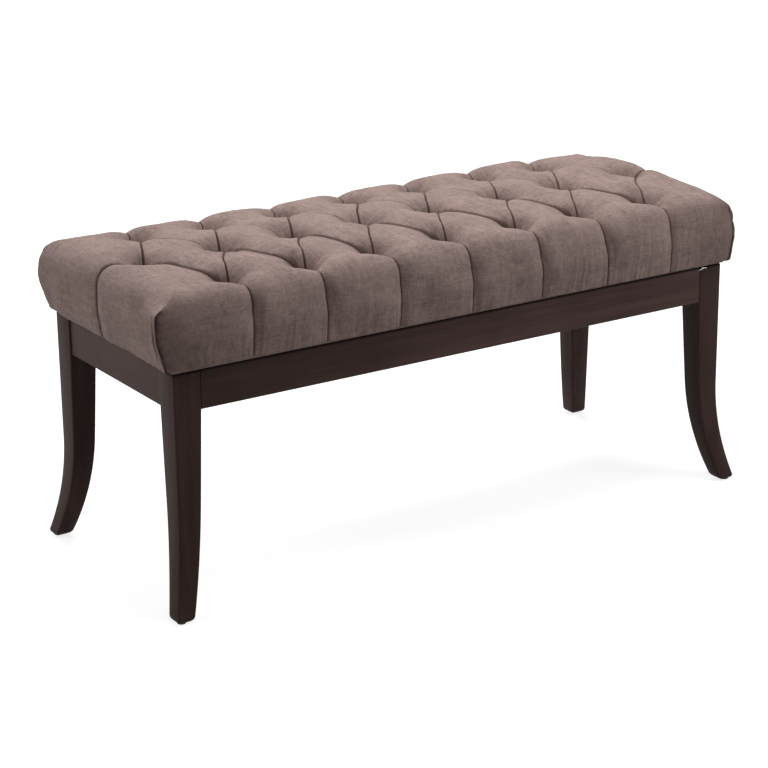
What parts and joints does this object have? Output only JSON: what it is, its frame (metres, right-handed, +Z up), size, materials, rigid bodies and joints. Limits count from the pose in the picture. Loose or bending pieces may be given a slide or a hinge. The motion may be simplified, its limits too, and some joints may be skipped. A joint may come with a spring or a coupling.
{
  "type": "upholstered bench",
  "caption": "Backless bench with a diamond-tufted padded seat on a hardwood apron frame and square tapered sabre legs that sweep out to the corners.",
  "frame": {"origin": "on the floor under the centre of the seat", "axes": "+X along the bench to its right end seen from the front, +Y to the back, +Z up"},
  "size_m": [1.0038, 0.4144, 0.476],
  "materials": {
    "taupe_fabric": "matte linen weave, heathered taupe",
    "espresso_wood": "satin espresso stain over close-grained hardwood",
    "pale_wood": "bare sawn hardwood",
    "plywood": "bare plywood",
    "foam": "open-cell cushion foam",
    "black_cloth": "matte non-woven dust cloth",
    "twine": "waxed tufting cord and its caps",
    "steel": "zinc-plated",
    "black_plastic": "moulded nylon"
  },
  "bodies": {
    "root": {"leg_front_left": "espresso_wood", "glide_front_left": "black_plastic", "corner_block_front_left": "pale_wood", "hanger_bolt_front_left": "steel", "flange_nut_front_left": "steel", "seat_screw_front_left": "steel", "leg_front_right": "espresso_wood", "glide_front_right": "black_plastic", "corner_block_front_right": "pale_wood", "hanger_bolt_front_right": "steel", "flange_nut_front_right": "steel", "seat_screw_front_right": "steel", "leg_rear_left": "espresso_wood", "glide_rear_left": "black_plastic", "corner_block_rear_left": "pale_wood", "hanger_bolt_rear_left": "steel", "flange_nut_rear_left": "steel", "seat_screw_rear_left": "steel", "leg_rear_right": "espresso_wood", "glide_rear_right": "black_plastic", "corner_block_rear_right": "pale_wood", "hanger_bolt_rear_right": "steel", "flange_nut_rear_right": "steel", "seat_screw_rear_right": "steel", "apron_front": "espresso_wood", "apron_rear": "espresso_wood", "apron_left": "espresso_wood", "apron_right": "espresso_wood", "slat_left": "pale_wood", "slat_right": "pale_wood", "seat_board": "plywood", "foam_slab": "foam", "seat_cover": "taupe_fabric", "dust_cover": "black_cloth", "tuft_tie_front_1": "twine", "tuft_tie_front_2": "twine", "tuft_tie_front_3": "twine", "tuft_tie_front_4": "twine", "tuft_tie_front_5": "twine", "tuft_tie_front_6": "twine", "tuft_tie_front_7": "twine", "tuft_tie_middle_1": "twine", "tuft_tie_middle_2": "twine", "tuft_tie_middle_3": "twine", "tuft_tie_middle_4": "twine", "tuft_tie_middle_5": "twine", "tuft_tie_middle_6": "twine", "tuft_tie_middle_7": "twine", "tuft_tie_middle_8": "twine", "tuft_tie_rear_1": "twine", "tuft_tie_rear_2": "twine", "tuft_tie_rear_3": "twine", "tuft_tie_rear_4": "twine", "tuft_tie_rear_5": "twine", "tuft_tie_rear_6": "twine", "tuft_tie_rear_7": "twine"}
  },
  "joints": []
}
